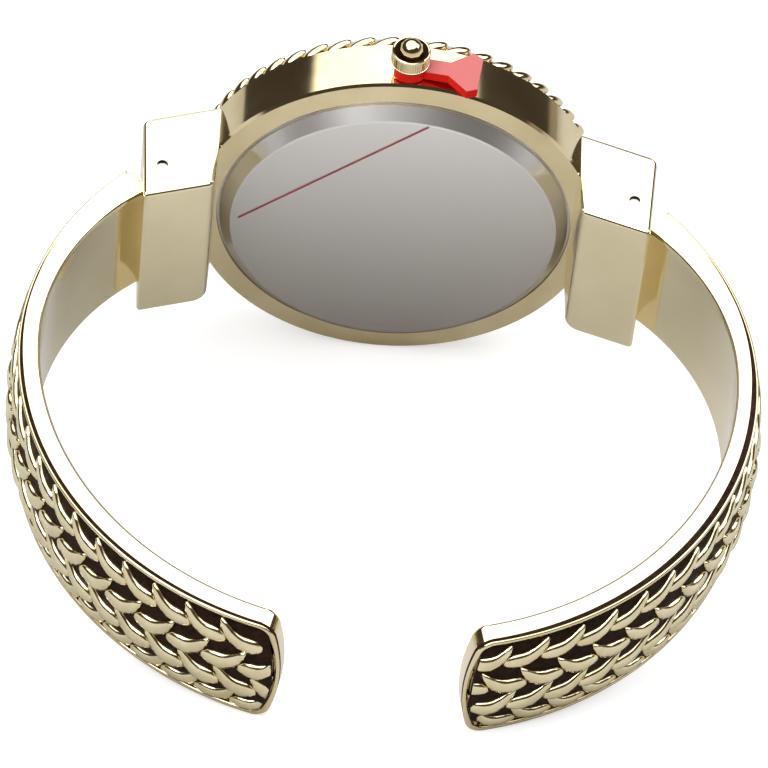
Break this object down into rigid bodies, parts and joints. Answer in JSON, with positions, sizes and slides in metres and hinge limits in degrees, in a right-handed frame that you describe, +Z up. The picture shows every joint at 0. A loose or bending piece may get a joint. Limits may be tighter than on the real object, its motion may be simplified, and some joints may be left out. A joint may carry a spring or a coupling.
{
  "type": "cuff watch",
  "caption": "Round wristwatch with a rope-edged bezel and a pull-out crown, hinged between two relief-covered cuff arms that spring shut round the wrist.",
  "frame": {"origin": "centre of the bottom of the bounding box, on the surface that the watch lies on, crown up", "axes": "+X from the left arm to the right arm, +Y from the gap between the arm ends towards the dial, +Z up; the watch leans so that the case rim and both arm ends touch the ground"},
  "size_m": [0.072, 0.0686, 0.0435],
  "materials": {
    "gold_plate": "polished, plated pale gold",
    "arm_gold": "polished inside, leaf relief in pale gold over a brown ground outside",
    "steel_back": "satin steel",
    "steel_parts": "bright steel",
    "crystal": "clear mineral glass",
    "film": "clear film with one thin red line",
    "stopper_red": "glossy red",
    "seal_black": "matt black",
    "gasket_clear": "clear nylon",
    "dial_face": "pale champagne, satin",
    "markers_gold": "polished",
    "holder_plastic": "moulded",
    "plate_brass": "satin",
    "wheel_brass": "satin",
    "cell_steel": "bright",
    "board_green": "satin",
    "coil_copper": "enamelled wire"
  },
  "bodies": {
    "case": {"mid_case": "gold_plate", "bezel": "gold_plate", "crystal": "crystal", "crystal_gasket": "gasket_clear", "case_back": "steel_back", "back_seal": "seal_black", "back_film": "film", "dial_ring": "gold_plate", "dial": "dial_face", "dial_markers": "markers_gold", "movement_ring": "holder_plastic", "main_plate": "plate_brass", "train_bridge": "plate_brass", "bridge_screws": "steel_parts", "battery": "cell_steel", "circuit_board": "board_green", "stator": "steel_parts", "coil": "coil_copper", "crown_tube": "gold_plate", "right_hinge_block": "gold_plate", "right_hinge_pin": "steel_parts", "right_hinge_spring": "steel_parts", "left_hinge_block": "gold_plate", "left_hinge_pin": "steel_parts", "left_hinge_spring": "steel_parts"},
    "right_cuff": {"right_arm": "arm_gold"},
    "left_cuff": {"left_arm": "arm_gold"},
    "stopper": {"crown_stopper": "stopper_red"},
    "lever": {"setting_lever": "steel_parts"},
    "crown_set": {"crown": "gold_plate", "setting_stem": "steel_parts", "sliding_pinion": "steel_parts"},
    "setting": {"setting_wheel": "steel_parts"},
    "minute_works": {"minute_wheel": "wheel_brass"},
    "minutes": {"minute_hand": "markers_gold", "cannon_pinion": "steel_parts"},
    "hours": {"hour_hand": "markers_gold", "hour_wheel": "wheel_brass"},
    "seconds": {"second_hand": "markers_gold", "seconds_wheel": "wheel_brass"},
    "motor": {"rotor": "steel_parts"},
    "middle": {"middle_wheel": "wheel_brass"},
    "third": {"third_wheel": "wheel_brass"},
    "centre": {"centre_wheel": "wheel_brass"}
  },
  "joints": [
    {"name": "right_arm_open", "type": "hinge", "parent": "case", "child": "right_cuff", "pos_m": [0.0232, 0.01954, 0.01884], "axis": [0, -0.2249, 0.9744], "range_deg": [0, 20], "stiffness_Nm_per_rad": 0.1, "springref_deg": -11.46},
    {"name": "left_arm_open", "type": "hinge", "parent": "case", "child": "left_cuff", "pos_m": [-0.0232, 0.01954, 0.01884], "axis": [0, 0.2249, -0.9744], "range_deg": [0, 20], "stiffness_Nm_per_rad": 0.1, "springref_deg": -11.46},
    {"name": "stopper_pull", "type": "slide", "parent": "case", "child": "stopper", "axis": [0.9936, -0.1103, -0.0255], "range_m": [0, 0.03]},
    {"name": "crown_push", "type": "slide", "parent": "case", "child": "lever", "axis": [0, -0.2249, 0.9744], "range_m": [-0.0012, 0]},
    {"name": "crown_turn", "type": "hinge", "parent": "lever", "child": "crown_set", "pos_m": [0, 0.01939, 0.04082], "axis": [0, -0.2249, 0.9744], "continuous": true},
    {"name": "setting_wheel_turn", "type": "hinge", "parent": "case", "child": "setting", "pos_m": [0, 0.02389, 0.02599], "axis": [0, 0.9744, 0.2249], "continuous": true},
    {"name": "minute_wheel_turn", "type": "hinge", "parent": "case", "child": "minute_works", "pos_m": [0.00058, 0.02482, 0.02287], "axis": [0, 0.9744, 0.2249], "continuous": true},
    {"name": "minute_hand_turn", "type": "hinge", "parent": "case", "child": "minutes", "pos_m": [0, 0.02719, 0.0206], "axis": [0, 0.9744, 0.2249], "continuous": true},
    {"name": "hour_hand_turn", "type": "hinge", "parent": "case", "child": "hours", "pos_m": [0, 0.0269, 0.02054], "axis": [0, 0.9744, 0.2249], "continuous": true},
    {"name": "seconds_hand_turn", "type": "hinge", "parent": "case", "child": "seconds", "pos_m": [0, 0.02777, 0.02074], "axis": [0, 0.9744, 0.2249], "continuous": true},
    {"name": "motor_turn", "type": "hinge", "parent": "case", "child": "motor", "pos_m": [-0.00124, 0.02537, 0.01513], "axis": [0, 0.9744, 0.2249], "continuous": true},
    {"name": "middle_wheel_turn", "type": "hinge", "parent": "case", "child": "middle", "pos_m": [-0.00052, 0.02444, 0.01694], "axis": [0, 0.9744, 0.2249], "continuous": true},
    {"name": "third_wheel_turn", "type": "hinge", "parent": "case", "child": "third", "pos_m": [0.00246, 0.02363, 0.02046], "axis": [0, 0.9744, 0.2249], "continuous": true},
    {"name": "centre_wheel_turn", "type": "hinge", "parent": "case", "child": "centre", "pos_m": [0, 0.02436, 0.01995], "axis": [0, 0.9744, 0.2249], "continuous": true}
  ],
  "couplings": [
    {"joint": "crown_push", "follows": "stopper_pull", "ratio": -0.04},
    {"joint": "setting_wheel_turn", "follows": "crown_turn", "ratio": 1},
    {"joint": "minute_wheel_turn", "follows": "crown_turn", "ratio": -0.57143},
    {"joint": "minute_hand_turn", "follows": "crown_turn", "ratio": 1.7143},
    {"joint": "hour_hand_turn", "follows": "crown_turn", "ratio": 0.14286},
    {"joint": "middle_wheel_turn", "follows": "seconds_hand_turn", "ratio": -5},
    {"joint": "motor_turn", "follows": "seconds_hand_turn", "ratio": 30},
    {"joint": "third_wheel_turn", "follows": "seconds_hand_turn", "ratio": -0.13333},
    {"joint": "centre_wheel_turn", "follows": "seconds_hand_turn", "ratio": 0.016667}
  ]
}
